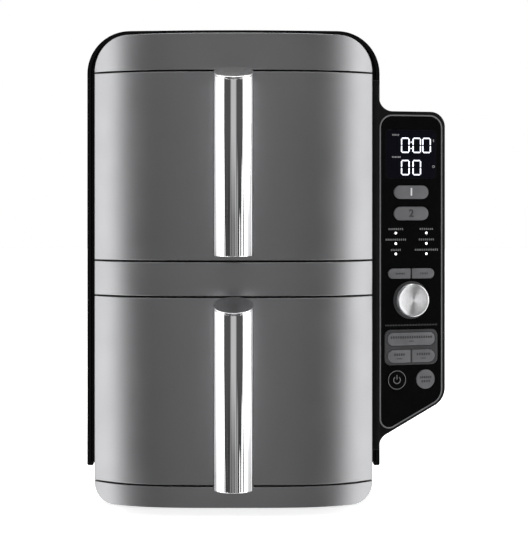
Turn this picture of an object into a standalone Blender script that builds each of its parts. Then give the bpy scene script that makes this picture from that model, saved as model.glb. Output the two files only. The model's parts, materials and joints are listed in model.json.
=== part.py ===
"""Two-drawer air fryer: a tall casing, two stacked drawers and a control pod on its right side.

Lengths are in metres and +Z is up. Places are given from the casing's own datum: x from its
centre plane, y back from the drawer fronts, z up from the ground. DATUM puts that datum where
the middle of the whole appliance's footprint is the origin.
"""

import math

import bmesh
import bpy
from mathutils import Matrix, Vector

DATUM = Vector((-0.02675, -0.189, 0.0))
GAP = 0.0003
MERGE = 0.00001

# Casing
CASE_HALF = 0.1178
CASE_TOP = 0.386
CASE_CROWN = 0.0015
CASE_CORNER = 0.036
CASE_WALL = 0.003
CASE_FRONT = 0.034
CASE_REAR = 0.410
SKIRT_Z = 0.035
COVER_REAR = 0.420
CROWN_RADIUS = 4.5
BASE_HALF = 0.1085
BASE_FLOOR = 0.0083
BASE_WALL = 0.002
BASE_CORNER = 0.0075
GLAND_X = -0.075
GLAND_Z = 0.060
GLAND_HOLE = 0.0093
FOOT_X = 0.0896
FOOT_Y = {"front": 0.060, "rear": 0.385}
VENT_PITCH = 0.010

# Grey fascia: seams between its four bands, and its curve in plan
FASCIA_HALF = 0.111
FASCIA_TOP = 0.3803
FASCIA_BOTTOM = 0.0075
FASCIA_SET_BACK = 0.025
FASCIA_POWER = 3.9
FASCIA_BACK = 0.036
TOP_CORNER = 0.029
BOTTOM_CORNER = 0.016
SEAM_HALF = 0.00065
SEAMS = (0.0246, 0.1727, 0.2007, 0.3502)
SKIN = 0.0015

# Drawers: (name, lowest z of the drawer front, handle's lowest z)
DRAWERS = (("upper", SEAMS[2] + SEAM_HALF, 0.206), ("lower", SEAMS[0] + SEAM_HALF, 0.028))
FRONT_HEIGHT = {"upper": SEAMS[3] - SEAMS[2] - 2 * SEAM_HALF, "lower": SEAMS[1] - SEAMS[0] - 2 * SEAM_HALF}
BASKET_HALF = 0.092
BASKET_HEIGHT = 0.119
BASKET_REAR = 0.300
BASKET_WALL = 0.0015
BASKET_CORNER = 0.020
BASKET_RISE = 0.0085
PLATE_RISE = 0.010
PLATE_THICK = 0.0025
HANDLE_RADIUS = 0.0155
HANDLE_OUT = 0.0305
HANDLE_LENGTH = 0.141
HANDLE_SLOPE = math.tan(math.radians(18.7))
CAP_THICK = 0.0016
ARM_HALF = 0.007
ARM_HEIGHT = 0.014
ARM_INSET = 0.018

# Cooking chambers and what stands behind them
FRAME_FRONT = FASCIA_BACK + GAP
FRAME_BACK = 0.0417
CHAMBER_HALF = 0.098
CHAMBER_RISE = 0.0035
CHAMBER_HEIGHT = 0.140
CHAMBER_FRONT = 0.042
CHAMBER_REAR = 0.345
CHAMBER_WALL = 0.0008
FAN_RISE = 0.072
HEATER_LEG_X = 0.012
HEATER_LEG_DROP = 0.055
GUARD_Y = 0.304
SHAFT_RADIUS = 0.004
SHAFT_BORE = 0.0045

# Control pod
POD_TILT = math.radians(14)
POD_OUTER = 0.1719
POD_INNER = 0.1116
POD_REAR_INNER = 0.140
POD_REAR_OUTER = 0.095
PANEL_X = 0.1434
PANEL_HALF = 0.0268
PANEL_TOP = 0.3174
PANEL_FOOT = 0.0737
PANEL_FOOT_RISE = 0.0278
PANEL_THICK = 0.002
BUTTON_PROUD = 0.0008
BUTTON_BACK = 0.0045
BOARD_BACK = 0.0135
KNOB_Z = 0.1680
KNOB_RADIUS = 0.0132
KNOB_HEIGHT = 0.0065
PAD_Z = 0.1300
ROUND_BUTTON_Z = 0.1038

FRONT_PLANE = Matrix.Rotation(math.radians(90), 4, "X")
TURN_TO = {"front": FRONT_PLANE, "plan": Matrix.Identity(4)}
THROUGH = {"front": Vector((0, 1, 0)), "plan": Vector((0, 0, 1))}

for old in list(bpy.data.objects):
    bpy.data.objects.remove(old)

PARTS = bpy.data.collections.new("air_fryer")
CUTTERS = bpy.data.collections.new("cutters")
bpy.context.scene.collection.children.link(PARTS)
bpy.context.scene.collection.children.link(CUTTERS)


# Materials

def finish(name, colour, roughness, metallic=0.0):
    material = bpy.data.materials.new(name)
    material.use_nodes = True
    shader = material.node_tree.nodes["Principled BSDF"]
    shader.inputs["Base Color"].default_value = (*colour, 1)
    shader.inputs["Roughness"].default_value = roughness
    shader.inputs["Metallic"].default_value = metallic
    return material


GREY_PAINT = finish("grey_paint", (0.10, 0.10, 0.105), 0.32, 0.6)
BLACK_PLASTIC = finish("black_plastic", (0.012, 0.012, 0.013), 0.45)
PANEL_GLOSS = finish("panel_gloss", (0.005, 0.005, 0.006), 0.15)
SMOKED_WINDOW = finish("smoked_window", (0.008, 0.008, 0.012), 0.05)
BUTTON_GREY = finish("button_grey", (0.11, 0.11, 0.115), 0.5)
BACKING_GREY = finish("backing_grey", (0.045, 0.045, 0.048), 0.5)
CHROME = finish("chrome", (0.75, 0.75, 0.76), 0.08, 1.0)
SATIN_METAL = finish("satin_metal", (0.6, 0.6, 0.61), 0.35, 1.0)
NON_STICK = finish("non_stick", (0.02, 0.02, 0.022), 0.4, 0.3)
SHEET_STEEL = finish("sheet_steel", (0.45, 0.45, 0.46), 0.35, 1.0)
MOTOR_STEEL = finish("motor_steel", (0.35, 0.35, 0.37), 0.4, 1.0)
BOARD_GREEN = finish("board_green", (0.02, 0.12, 0.05), 0.5)
FOOT_RUBBER = finish("foot_rubber", (0.02, 0.02, 0.02), 0.8)


# Building blocks

def rounded(corners, steps=5):
    """Points round a polygon of (a, b, radius) corners, with an arc in place of each corner."""
    points = []
    for index, (a, b, radius) in enumerate(corners):
        corner = Vector((a, b))
        if radius == 0:
            points.append(corner)
            continue
        before = (Vector(corners[index - 1][:2]) - corner).normalized()
        after = (Vector(corners[(index + 1) % len(corners)][:2]) - corner).normalized()
        half = before.angle(after) / 2
        centre = corner + (before + after).normalized() * radius / math.sin(half)
        first = corner + before * radius / math.tan(half) - centre
        last = corner + after * radius / math.tan(half) - centre
        start = math.atan2(first.y, first.x)
        sweep = math.atan2(first.x * last.y - first.y * last.x, first.dot(last))
        for step in range(steps + 1):
            angle = start + sweep * step / steps
            points.append(centre + radius * Vector((math.cos(angle), math.sin(angle))))
    return points


def rectangle(low_a, low_b, high_a, high_b, radius=0.0, steps=3):
    corners = ((low_a, low_b), (high_a, low_b), (high_a, high_b), (low_a, high_b))
    return rounded([(a, b, radius) for a, b in corners], steps)


def circle(a, b, radius, sides=16):
    turns = [2 * math.pi * side / sides for side in range(sides)]
    return [Vector((a + radius * math.cos(turn), b + radius * math.sin(turn))) for turn in turns]


def slot(a, b, half_a, half_b):
    """A straight slot with pointed ends along its longer side."""
    if half_a > half_b:
        low, high = a - half_a + half_b * 0.6, a + half_a - half_b * 0.6
        ring = ((a - half_a, b), (low, b - half_b), (high, b - half_b))
        ring += ((a + half_a, b), (high, b + half_b), (low, b + half_b))
    else:
        low, high = b - half_b + half_a * 0.6, b + half_b - half_a * 0.6
        ring = ((a, b - half_b), (a + half_a, low), (a + half_a, high))
        ring += ((a, b + half_b), (a - half_a, high), (a - half_a, low))
    return [Vector(point) for point in ring]


def arch(half, bottom, top, corner):
    """The casing's outline from the front: upright sides, round top corners and a slight crown."""
    side_top = top - CASE_CROWN
    return rounded(
        [
            (-half, bottom, 0),
            (-half, side_top, corner),
            (0, top, CROWN_RADIUS),
            (half, side_top, corner),
            (half, bottom, 0),
        ],
        steps=8,
    )


def add(name, mesh, material, collection=PARTS, place=DATUM):
    obj = bpy.data.objects.new(name, mesh)
    obj.location = place
    if material:
        mesh.materials.clear()
        mesh.materials.append(material)
    collection.objects.link(obj)
    return obj


def weld(mesh):
    shape = bmesh.new()
    shape.from_mesh(mesh)
    bmesh.ops.remove_doubles(shape, verts=shape.verts, dist=MERGE)
    bmesh.ops.recalc_face_normals(shape, faces=shape.faces)
    shape.to_mesh(mesh)
    shape.free()


def sheet(name, outlines, plane, low, high):
    """A mesh of a flat outline, and the holes listed after it, from low to high across a plane."""
    curve = bpy.data.curves.new(name, "CURVE")
    curve.dimensions = "2D"
    curve.fill_mode = "BOTH"
    curve.extrude = (high - low) / 2
    for outline in outlines:
        spline = curve.splines.new("POLY")
        spline.points.add(len(outline) - 1)
        for point, (a, b) in zip(spline.points, outline):
            point.co = (a, b, 0, 1)
        spline.use_cyclic_u = True
    drawn = bpy.data.objects.new(name + "_outline", curve)
    bpy.context.scene.collection.objects.link(drawn)
    graph = bpy.context.evaluated_depsgraph_get()
    mesh = bpy.data.meshes.new_from_object(drawn.evaluated_get(graph))
    bpy.data.objects.remove(drawn)
    weld(mesh)
    mesh.transform(Matrix.Translation(THROUGH[plane] * (low + high) / 2) @ TURN_TO[plane])
    mesh.name = name
    return mesh


def plate(name, outlines, plane, low, high, material):
    return add(name, sheet(name, outlines, plane, low, high), material)


def box_mesh(name, low, high):
    shape = bmesh.new()
    bmesh.ops.create_cube(shape, size=1)
    size = Vector(high) - Vector(low)
    middle = (Vector(high) + Vector(low)) / 2
    bmesh.ops.scale(shape, vec=size, verts=shape.verts)
    bmesh.ops.translate(shape, vec=middle, verts=shape.verts)
    mesh = bpy.data.meshes.new(name)
    shape.to_mesh(mesh)
    shape.free()
    return mesh


def rod_mesh(name, radius, low, high, sides=16):
    """A cylinder along Y from low to high, on the mesh's own origin."""
    shape = bmesh.new()
    bmesh.ops.create_cone(
        shape, cap_ends=True, segments=sides, radius1=radius, radius2=radius, depth=high - low
    )
    mesh = bpy.data.meshes.new(name)
    shape.to_mesh(mesh)
    shape.free()
    mesh.transform(Matrix.Translation((0, (low + high) / 2, 0)) @ FRONT_PLANE)
    mesh.shade_smooth()
    mesh.set_sharp_from_angle(angle=math.radians(40))
    return mesh


def joined(obj, mesh, operation, place=DATUM):
    """Cuts, joins or crops an object with another shape by a Boolean modifier."""
    tool = add(mesh.name, mesh, None, CUTTERS, place)
    tool.hide_render = True
    tool.display_type = "WIRE"
    tool.parent = obj.parent
    modifier = obj.modifiers.new(mesh.name, "BOOLEAN")
    modifier.operation = operation
    modifier.object = tool
    return tool


def bevel(obj, width, segments=2, angle=30):
    modifier = obj.modifiers.new("soft_edges", "BEVEL")
    modifier.width = width
    modifier.segments = segments
    modifier.limit_method = "ANGLE"
    modifier.angle_limit = math.radians(angle)


def turned(name, profile, steps, material, place, closed=False):
    """A profile of (radius, height) points, top to bottom of its outer side, turned about Z."""
    mesh = bpy.data.meshes.new(name)
    edges = [(index, index + 1) for index in range(len(profile) - 1)]
    if closed:
        edges.append((len(profile) - 1, 0))
    mesh.from_pydata([(radius, 0, height) for radius, height in profile], edges, [])
    obj = add(name, mesh, material, place=place)
    screw = obj.modifiers.new("turn", "SCREW")
    screw.steps = steps
    screw.render_steps = steps
    screw.use_merge_vertices = True
    screw.merge_threshold = MERGE
    screw.use_smooth_shade = True
    return obj


# Casing

def housing_shell():
    outer = arch(CASE_HALF, SKIRT_Z, CASE_TOP, CASE_CORNER)
    inner = arch(
        CASE_HALF - CASE_WALL, SKIRT_Z, CASE_TOP - CASE_WALL, CASE_CORNER - CASE_WALL
    )
    plate("housing_shell", [outer + inner[::-1]], "front", CASE_FRONT, CASE_REAR, BLACK_PLASTIC)


def vent_slots():
    """Two fields of upright slots, one behind each cooling fan."""
    slots = []
    for _, floor, _ in DRAWERS:
        middle = floor + CHAMBER_RISE + FAN_RISE
        for column in range(-5, 6):
            reach = 0.036 - 0.0025 * abs(column)
            slots.append(slot(column * VENT_PITCH, middle, 0.0022, reach))
    return slots


def rear_cover():
    outline = arch(CASE_HALF, SKIRT_Z + 0.001, CASE_TOP, CASE_CORNER)
    outlines = [outline, circle(GLAND_X, GLAND_Z, GLAND_HOLE), *vent_slots()]
    plate("rear_cover", outlines, "front", CASE_REAR + GAP, COVER_REAR, BLACK_PLASTIC)


def cord_gland():
    """A bush through the rear cover, with a flange on each side of it."""
    profile = [
        (0.0045, 0.004), (0.0115, 0.004), (0.0125, 0.003), (0.0125, GAP), (0.009, GAP),
        (0.009, -0.010), (0.0045, -0.010),
    ]
    place = DATUM + Vector((GLAND_X, COVER_REAR, GLAND_Z))
    gland = turned("cord_gland", profile, 20, FOOT_RUBBER, place, closed=True)
    gland.rotation_euler = (math.radians(-90), 0, 0)


def tray_outline(half, low, top, corner):
    """A tray's outline from the front: open upright sides and a floor with round corners."""
    return rounded([(-half, top, 0), (-half, low, corner), (half, low, corner), (half, top, 0)])


def base_pan():
    """The casing's floor: a tray, lower in front, hung by two side flanges inside the housing."""
    hung = CASE_HALF - CASE_WALL - 2 * GAP
    shelf = SKIRT_Z + BASE_WALL
    rim = shelf + BASE_WALL
    outline = tray_outline(BASE_HALF, BASE_FLOOR, shelf, BASE_CORNER)
    under = shelf + GAP
    outline += [Vector(point) for point in ((hung, under), (hung, rim), (-hung, rim), (-hung, under))]
    front = FRAME_BACK + GAP
    rear = CASE_REAR - 0.001
    pan = plate("base_pan", [outline], "front", front, rear, BLACK_PLASTIC)
    hollow = tray_outline(BASE_HALF - BASE_WALL, BASE_FLOOR + BASE_WALL, rim + 0.01, BASE_CORNER - BASE_WALL)
    joined(pan, sheet("base_hollow", [hollow], "front", front + BASE_WALL, rear - BASE_WALL), "DIFFERENCE")
    low = (-CASE_HALF, front - BASE_WALL, DRAWERS[1][1] + 0.0015)
    high = (CASE_HALF, front + 2 * BASE_WALL, rim + 0.02)
    joined(pan, box_mesh("base_mouth", low, high), "DIFFERENCE")


def feet():
    """Four round rubber feet."""
    profile = [(0, 0.008), (0.0075, 0.008), (0.009, 0.006), (0.0085, 0), (0, 0)]
    for side, x in (("left", -FOOT_X), ("right", FOOT_X)):
        for end, y in FOOT_Y.items():
            turned(f"foot_{end}_{side}", profile, 20, FOOT_RUBBER, DATUM + Vector((x, y, 0)))


def front_frame():
    """The bulkhead that the drawers pass through and the fascia bands are fixed to."""
    inset = CASE_WALL + GAP
    shoulder = SKIRT_Z + BASE_WALL
    outline = arch(CASE_HALF - inset, shoulder + GAP, CASE_TOP - inset, CASE_CORNER - inset)
    outline += tray_outline(BASE_HALF, BASE_FLOOR, shoulder, BOTTOM_CORNER)[::-1]
    mouths = []
    for _, floor, _ in DRAWERS:
        bottom = floor + BASKET_RISE - 0.003
        top = floor + BASKET_RISE + BASKET_HEIGHT + 0.004
        mouths.append(rectangle(-BASKET_HALF - 0.003, bottom, BASKET_HALF + 0.003, top, 0.006))
    plate("front_frame", [outline, *mouths], "front", FRAME_FRONT, FRAME_BACK, BLACK_PLASTIC)


# Fascia

def fascia_curve(inset):
    """The fascia's front in plan, left to right, set in by an inset along its own normal."""
    count = 13
    limit = FASCIA_HALF - inset
    points = []
    for step in range(-count, count + 1):
        share = math.copysign(abs(step / count) ** 0.75, step)
        slope = FASCIA_SET_BACK * FASCIA_POWER / FASCIA_HALF * abs(share) ** (FASCIA_POWER - 1)
        slope = math.copysign(slope, share)
        length = math.hypot(slope, 1)
        x = share * FASCIA_HALF - inset * slope / length
        y = FASCIA_SET_BACK * abs(share) ** FASCIA_POWER + inset / length
        points.append(Vector((max(-limit, min(limit, x)), y)))
    return points


def fascia_block(inset, back):
    half = FASCIA_HALF - inset
    return [Vector((-half, back)), *fascia_curve(inset), Vector((half, back))]


def trim(name, low, high, corners):
    """A fascia band between two heights, cropped to its outline and hollow from behind."""
    band = plate(name, [fascia_block(0, FASCIA_BACK)], "plan", low, high, GREY_PAINT)
    if corners:
        outline = rounded(corners, steps=8)
        joined(band, sheet(name + "_outline", [outline], "front", -0.01, 0.05), "INTERSECT")
    wall = 0.0025
    hollow = box_mesh(name + "_hollow", (-0.086, 0.016, low + wall), (0.086, 0.05, high - wall))
    joined(band, hollow, "DIFFERENCE")


def trims():
    wide = FASCIA_HALF + 0.01
    top_low = SEAMS[3] + SEAM_HALF
    top_side = FASCIA_TOP - CASE_CROWN
    trim(
        "top_trim",
        top_low,
        FASCIA_TOP + 0.001,
        [
            (-FASCIA_HALF, top_low - 0.01, 0),
            (-FASCIA_HALF, top_side, TOP_CORNER),
            (0, FASCIA_TOP, CROWN_RADIUS),
            (FASCIA_HALF, top_side, TOP_CORNER),
            (FASCIA_HALF, top_low - 0.01, 0),
        ],
    )
    trim("middle_trim", SEAMS[1] + SEAM_HALF, SEAMS[2] - SEAM_HALF, None)
    bottom_high = SEAMS[0] - SEAM_HALF
    trim(
        "bottom_trim",
        FASCIA_BOTTOM,
        bottom_high,
        [
            (-FASCIA_HALF, FASCIA_BOTTOM, BOTTOM_CORNER),
            (FASCIA_HALF, FASCIA_BOTTOM, BOTTOM_CORNER),
            (wide, bottom_high + 0.01, 0),
            (-wide, bottom_high + 0.01, 0),
        ],
    )


# Drawers

def drawer_front(name, floor):
    """The painted skin and the black moulding behind it."""
    top = floor + FRONT_HEIGHT[name]
    outer = fascia_block(0, CASE_FRONT)
    inner = fascia_block(SKIN, CASE_FRONT)
    skin = plate(f"{name}_drawer_skin", [outer + inner[::-1]], "plan", floor, top, GREY_PAINT)
    block = fascia_block(SKIN + GAP, FASCIA_BACK)
    back = plate(f"{name}_drawer_back", [block], "plan", floor + GAP, top - GAP, BLACK_PLASTIC)
    wall = 0.003
    hollow = box_mesh(f"{name}_drawer_hollow", (-0.095, -0.01, floor + wall), (0.095, 0.033, top - wall))
    joined(back, hollow, "DIFFERENCE")
    return skin


def basket(name, floor):
    """An open tub with round corners, pressed from sheet."""
    low = floor + BASKET_RISE
    shape = bmesh.new()
    bmesh.ops.create_cube(shape, size=1)
    length = BASKET_REAR - FRAME_FRONT
    bmesh.ops.scale(shape, vec=(2 * BASKET_HALF, length, BASKET_HEIGHT), verts=shape.verts)
    middle = (0, (BASKET_REAR + FRAME_FRONT) / 2, low + BASKET_HEIGHT / 2)
    bmesh.ops.translate(shape, vec=middle, verts=shape.verts)
    lids = [face for face in shape.faces if face.normal.z > 0.5]
    bmesh.ops.delete(shape, geom=lids, context="FACES_ONLY")
    uprights = [edge for edge in shape.edges if abs(edge.verts[0].co.z - edge.verts[1].co.z) > 0.01]
    bmesh.ops.bevel(shape, geom=uprights, offset=BASKET_CORNER, segments=4, affect="EDGES", profile=0.5)
    floor_edges = [edge for edge in shape.edges if all(vert.co.z < low + MERGE for vert in edge.verts)]
    bmesh.ops.bevel(shape, geom=floor_edges, offset=0.006, segments=2, affect="EDGES", profile=0.5)
    mesh = bpy.data.meshes.new(f"{name}_basket")
    shape.to_mesh(mesh)
    shape.free()
    mesh.shade_smooth()
    mesh.set_sharp_from_angle(angle=math.radians(50))
    tub = add(f"{name}_basket", mesh, NON_STICK)
    wall = tub.modifiers.new("wall", "SOLIDIFY")
    wall.thickness = BASKET_WALL
    wall.offset = -1
    wall.use_even_offset = True


def crisper_plate(name, floor):
    """The slotted plate that stands on four short feet in the basket."""
    inset = BASKET_WALL + 0.0015
    half = BASKET_HALF - inset
    front = FRAME_FRONT + inset
    rear = BASKET_REAR - inset
    base = floor + BASKET_RISE + BASKET_WALL
    under = base + PLATE_RISE
    slots = []
    for row in range(7):
        for column in range(-2, 3):
            x = column * 0.032
            y = front + 0.030 + row * 0.0325
            slots.append(slot(x, y, 0.011, 0.004))
    outline = rectangle(-half, front, half, rear, BASKET_CORNER - inset, 4)
    grid = plate(
        f"{name}_crisper_plate", [outline, *slots], "plan", under, under + PLATE_THICK, NON_STICK
    )
    for x in (-half + 0.016, half - 0.016):
        for y in (front + 0.016, rear - 0.016):
            low = (x - 0.004, y - 0.004, base + 0.0005)
            high = (x + 0.004, y + 0.004, under + PLATE_THICK / 2)
            joined(grid, box_mesh(f"{name}_plate_foot", low, high), "UNION")


def slanted_bar(name, low, high, low_slope, high_slope, material):
    """An upright round bar whose ends slope down towards the front."""
    shape = bmesh.new()
    bmesh.ops.create_cone(
        shape, cap_ends=True, segments=40, radius1=HANDLE_RADIUS, radius2=HANDLE_RADIUS, depth=1
    )
    for vert in shape.verts:
        if vert.co.z > 0:
            vert.co.z = high + high_slope * vert.co.y
        else:
            vert.co.z = low + low_slope * vert.co.y
    mesh = bpy.data.meshes.new(name)
    shape.to_mesh(mesh)
    shape.free()
    mesh.shade_smooth()
    mesh.set_sharp_from_angle(angle=math.radians(40))
    bar = add(name, mesh, material, place=DATUM + Vector((0, -HANDLE_OUT, 0)))
    bevel(bar, 0.0005, 1, 60)


def handle(name, skin, bottom):
    """A round bar with a slanted cap, on two arms that come through the drawer's skin."""
    top = bottom + HANDLE_LENGTH
    join = top - CAP_THICK
    slanted_bar(f"{name}_handle", bottom, join - GAP, 0, HANDLE_SLOPE, CHROME)
    slanted_bar(f"{name}_handle_cap", join, top, HANDLE_SLOPE, HANDLE_SLOPE, SATIN_METAL)
    arms = (bottom + ARM_INSET, top - ARM_INSET - ARM_HEIGHT)
    spine_front = SKIN + GAP
    low = (-ARM_HALF, spine_front, arms[0])
    high = (ARM_HALF, spine_front + 0.003, arms[1] + ARM_HEIGHT)
    bracket = add(f"{name}_handle_bracket", box_mesh(f"{name}_handle_bracket", low, high), SATIN_METAL)
    seat = HANDLE_RADIUS + GAP
    spread = math.asin(ARM_HALF / seat)
    saddle = []
    for step in range(-4, 5):
        angle = spread * step / 4
        saddle.append(Vector((seat * math.sin(angle), seat * math.cos(angle) - HANDLE_OUT)))
    outline = [*saddle, Vector((ARM_HALF, spine_front + 0.0015)), Vector((-ARM_HALF, spine_front + 0.0015))]
    for arm in arms:
        mesh = sheet(f"{name}_arm", [outline], "plan", arm, arm + ARM_HEIGHT)
        joined(bracket, mesh, "UNION")
        play = 0.0004
        low = (-ARM_HALF - play, -0.01, arm - play)
        high = (ARM_HALF + play, 0.01, arm + ARM_HEIGHT + play)
        joined(skin, box_mesh(f"{name}_arm_hole", low, high), "DIFFERENCE")


def drawers():
    for name, floor, handle_bottom in DRAWERS:
        skin = drawer_front(name, floor)
        basket(name, floor)
        crisper_plate(name, floor)
        handle(name, skin, handle_bottom)


# Cooking chambers, heaters and fans

def chamber(name, floor):
    """A sheet-metal box, open at the front, with holes for the shaft and the heater's two legs."""
    low = floor + CHAMBER_RISE
    shape = bmesh.new()
    bmesh.ops.create_cube(shape, size=1)
    length = CHAMBER_REAR - CHAMBER_FRONT
    bmesh.ops.scale(shape, vec=(2 * CHAMBER_HALF, length, CHAMBER_HEIGHT), verts=shape.verts)
    middle = (0, (CHAMBER_REAR + CHAMBER_FRONT) / 2, low + CHAMBER_HEIGHT / 2)
    bmesh.ops.translate(shape, vec=middle, verts=shape.verts)
    doors = [face for face in shape.faces if face.normal.y < -0.5]
    bmesh.ops.delete(shape, geom=doors, context="FACES_ONLY")
    mesh = bpy.data.meshes.new(f"{name}_chamber")
    shape.to_mesh(mesh)
    shape.free()
    liner = add(f"{name}_chamber", mesh, SHEET_STEEL)
    wall = liner.modifiers.new("wall", "SOLIDIFY")
    wall.thickness = CHAMBER_WALL
    wall.offset = 1
    wall.use_even_offset = True
    axis_z = low + FAN_RISE
    leg_z = axis_z - HEATER_LEG_DROP
    holes = ((0, axis_z, 0.008), (-HEATER_LEG_X, leg_z, 0.005), (HEATER_LEG_X, leg_z, 0.005))
    for x, z, radius in holes:
        hole = rod_mesh(f"{name}_chamber_hole", radius, CHAMBER_REAR - 0.01, CHAMBER_REAR + 0.01, 12)
        joined(liner, hole, "DIFFERENCE", DATUM + Vector((x, 0, z)))
    return axis_z


def heater(name, axis_z):
    """A tube ring round the fan, with its two ends bent back through the chamber's rear wall."""
    ring = 0.056
    gap_angle = math.asin(HEATER_LEG_X / ring)
    leg_z = axis_z - HEATER_LEG_DROP
    points = [(HEATER_LEG_X, CHAMBER_REAR + 0.012, leg_z), (HEATER_LEG_X, 0.330, leg_z)]
    for step in range(31):
        angle = -math.pi / 2 + gap_angle + (2 * math.pi - 2 * gap_angle) * step / 30
        points.append((ring * math.cos(angle), 0.322, axis_z + ring * math.sin(angle)))
    points.append((-HEATER_LEG_X, 0.330, leg_z))
    points.append((-HEATER_LEG_X, CHAMBER_REAR + 0.012, leg_z))
    curve = bpy.data.curves.new(f"{name}_heater", "CURVE")
    curve.dimensions = "3D"
    curve.bevel_depth = 0.0032
    curve.bevel_resolution = 1
    curve.use_fill_caps = True
    spline = curve.splines.new("POLY")
    spline.points.add(len(points) - 1)
    for point, place in zip(spline.points, points):
        point.co = (*place, 1)
    add(f"{name}_heater", curve, MOTOR_STEEL)


def fan_guard(name, floor):
    """A flat baffle across the chamber: a ring of air holes and an outlet slot along each side."""
    low = floor + CHAMBER_RISE + GAP
    half = CHAMBER_HALF - GAP
    high = floor + CHAMBER_RISE + CHAMBER_HEIGHT - GAP
    axis_z = floor + CHAMBER_RISE + FAN_RISE
    outline = rectangle(-half, low, half, high)
    holes = [circle(0, axis_z, 0.006, 6)]
    for radius, count in ((0.016, 6), (0.028, 10), (0.040, 14)):
        for index in range(count):
            angle = 2 * math.pi * index / count
            holes.append(circle(radius * math.cos(angle), axis_z + radius * math.sin(angle), 0.0045, 6))
    for x in (-0.078, 0.078):
        for row in range(-2, 3):
            z = axis_z + row * 0.024
            holes.append(slot(x, z, 0.009, 0.004))
    plate(f"{name}_fan_guard", [outline, *holes], "front", GUARD_Y, GUARD_Y + 0.0012, SHEET_STEEL)


def vane_star(tip, hub, count, thick, lean):
    """A hub with straight vanes, as one outline round the shaft."""
    points = []
    for index in range(count):
        angle = 2 * math.pi * index / count
        for radius, side in ((hub, -1), (tip, -1), (tip, 1), (hub, 1)):
            turn = angle + (lean if radius == tip else 0)
            along = Vector((math.cos(turn), math.sin(turn)))
            across = Vector((-along.y, along.x))
            points.append(along * radius + across * side * thick / 2)
    return points


def rotor(name, axis_z):
    """The shaft with a stirring fan in the chamber and a cooling fan behind the motor."""
    place = DATUM + Vector((0, 0, axis_z))
    shaft = rod_mesh(f"{name}_fan_shaft", SHAFT_RADIUS, 0.314, 0.4055)
    add(f"{name}_fan_shaft", shaft, MOTOR_STEEL, place=place)
    bore = circle(0, 0, SHAFT_RADIUS + GAP, 12)
    for part, tip, low, high, disc in (
        ("hot_fan", 0.046, 0.317, 0.330, 0.3315),
        ("cooling_fan", 0.042, 0.393, 0.401, 0.4025),
    ):
        vanes = sheet(f"{name}_{part}", [vane_star(tip, 0.011, 8, 0.0018, 0.35), bore], "front", low, high)
        wheel = add(f"{name}_{part}", vanes, SHEET_STEEL, place=place)
        back = sheet(f"{name}_{part}_disc", [circle(0, 0, tip * 0.9, 24), bore], "front", high - 0.0005, disc)
        joined(wheel, back, "UNION", place)


def motor(name, axis_z):
    """The motor's open-mouthed can and the plate that holds it to the chamber's rear wall."""
    front = CHAMBER_REAR + CHAMBER_WALL + GAP
    thick = 0.002
    outline = rectangle(-0.045, axis_z - 0.040, 0.045, axis_z + 0.040, 0.008)
    holes = [circle(0, axis_z, 0.012, 20)]
    holes.extend(circle(x, axis_z + z, 0.002, 8) for x in (-0.038, 0.038) for z in (-0.033, 0.033))
    plate(f"{name}_motor_bracket", [outline, *holes], "front", front, front + thick, SHEET_STEEL)
    length = 0.039
    radius = 0.031
    shell = 0.003
    end = length - 0.003
    profile = [
        (SHAFT_BORE, length), (0.010, length), (0.010, end), (radius - 0.002, end), (radius, end - 0.002),
        (radius, 0.0), (radius - shell, 0.0), (radius - shell, end - shell), (SHAFT_BORE, end - shell),
    ]
    place = DATUM + Vector((0, front + thick + GAP, axis_z))
    can = turned(f"{name}_motor", profile, 24, MOTOR_STEEL, place, closed=True)
    can.rotation_euler = (math.radians(-90), 0, 0)


def cooking_side():
    for name, floor, _ in DRAWERS:
        axis_z = chamber(name, floor)
        heater(name, axis_z)
        fan_guard(name, floor)
        rotor(name, axis_z)
        motor(name, axis_z)


def power_board():
    """The mains board in the base, with its relay, choke and capacitor blocks."""
    low = 0.0118
    board = add(
        "power_board",
        box_mesh("power_board", (-0.075, 0.200, low), (0.065, 0.300, low + 0.0016)),
        BOARD_GREEN,
    )
    blocks = ((-0.050, 0.230, 0.012, 0.0235), (-0.010, 0.265, 0.010, 0.022), (0.035, 0.235, 0.014, 0.0225))
    for x, y, size, high in blocks:
        block = box_mesh("board_block", (x - size, y - size, low + 0.0008), (x + size, y + size, high))
        joined(board, block, "UNION")


# Control pod

def pod_depth(x):
    return CASE_FRONT - 0.004 + (x - CASE_HALF) * math.tan(POD_TILT)


def pod_outline():
    """The pod from the front: a strip along the casing that flares out to the panel."""
    return rounded(
        [
            (POD_INNER, 0.048, 0),
            (0.1173, 0.048, 0),
            (0.1173, 0.0572, 0.010),
            (POD_OUTER, 0.0867, 0.016),
            (POD_OUTER, 0.3203, 0.012),
            (0.1168, 0.3203, 0.011),
            (0.1176, 0.345, 0),
            (POD_INNER, 0.345, 0),
        ],
        steps=7,
    )


def panel_outline(grow=0.0):
    """The panel plate in the pod's tilted face, with its foot slanted like the pod's."""
    half = PANEL_HALF + grow
    rise = PANEL_FOOT_RISE * half / PANEL_HALF
    low = PANEL_FOOT - grow * math.hypot(1, PANEL_FOOT_RISE / (2 * PANEL_HALF))
    top = PANEL_TOP + grow
    foot = [(-half, low - rise / 2, 0.008), (half, low + rise / 2, 0.0135)]
    return rounded([*foot, (half, top, 0.0107), (-half, top, 0.0107)], steps=6)


def pill(u, z, width, height, radius=None):
    radius = height / 2 - 0.0001 if radius is None else radius
    return rectangle(u - width / 2, z - height / 2, u + width / 2, z + height / 2, radius, 5)


def half_pill(inner_u, outer_u, z, height):
    """A pill cut square at its inner end."""
    radius = height / 2 - 0.0001
    return rounded(
        [
            (inner_u, z - height / 2, 0.0004),
            (outer_u, z - height / 2, radius),
            (outer_u, z + height / 2, radius),
            (inner_u, z + height / 2, 0.0004),
        ],
        steps=5,
    )


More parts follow.
